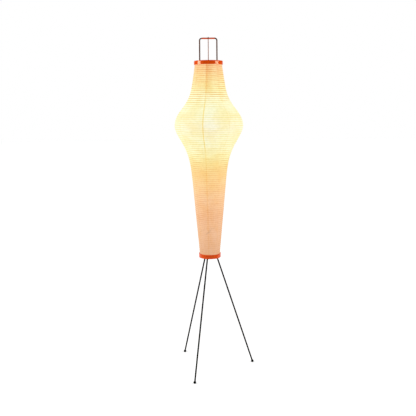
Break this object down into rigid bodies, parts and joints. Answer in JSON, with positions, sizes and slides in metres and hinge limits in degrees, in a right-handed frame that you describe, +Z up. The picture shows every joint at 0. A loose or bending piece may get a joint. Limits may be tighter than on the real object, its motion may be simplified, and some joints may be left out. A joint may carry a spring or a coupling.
{
  "type": "paper lantern floor lamp",
  "caption": "Floor lamp with a bellied paper lantern shade on a spiral rib, hung by a bail from the handle of a wire stand on splayed rod legs.",
  "frame": {"origin": "on the floor, on the lamp's axis, in the plane of the feet's undersides", "axes": "+Z up along the lamp's axis; -Y is the front, the side that the picture shows; the handle bar runs along X"},
  "size_m": [0.3737, 0.3632, 1.5785],
  "materials": {
    "dark_steel": "satin",
    "bronzed_wire": "satin",
    "zinc_steel": "satin",
    "black_rubber": "matte",
    "black_nylon": "matte",
    "black_plastic": "satin",
    "white_ceramic": "satin",
    "brass": "satin",
    "opal_glass": "satin",
    "nickel_cap": "satin",
    "black_glass": "gloss",
    "solder": "matte",
    "orange_lacquer": "gloss",
    "lantern_paper": "matte",
    "bamboo": "matte"
  },
  "bodies": {
    "stand": {"hub": "dark_steel", "leg_a": "dark_steel", "leg_b": "dark_steel", "leg_c": "dark_steel", "foot_a": "black_rubber", "foot_b": "black_rubber", "foot_c": "black_rubber", "inlet_bush": "black_nylon", "frame_wire": "dark_steel", "grip": "orange_lacquer", "frame_screws": "zinc_steel", "stem": "zinc_steel", "stem_nuts": "zinc_steel", "brace": "dark_steel", "holder_cap": "black_plastic", "holder_body": "black_plastic", "holder_core": "white_ceramic", "holder_shell": "brass", "centre_contact": "brass", "terminal_screws": "brass"},
    "bulb": {"bulb_glass": "opal_glass", "bulb_cap": "nickel_cap", "bulb_insulator": "black_glass", "bulb_contact": "solder"},
    "lantern": {"top_band": "orange_lacquer", "top_hoop": "dark_steel", "bail": "bronzed_wire", "paper_upper": "lantern_paper", "rib_upper": "bamboo", "paper_lower": "lantern_paper", "rib_lower": "bamboo"},
    "bottom_ring": {"bottom_band": "orange_lacquer", "bottom_hoop": "dark_steel"}
  },
  "joints": [
    {"name": "lantern_lift", "type": "slide", "parent": "stand", "child": "lantern", "axis": [0, 0, 1], "range_m": [0, 1.08]},
    {"name": "bottom_ring_lift", "type": "slide", "parent": "lantern", "child": "bottom_ring", "axis": [0, 0, 1], "range_m": [0, 0.5], "deforming": ["paper_lower", "rib_lower"]},
    {"name": "bulb_removal", "type": "slide", "parent": "stand", "child": "bulb", "axis": [0, 0, 1], "range_m": [0, 0.035]}
  ]
}
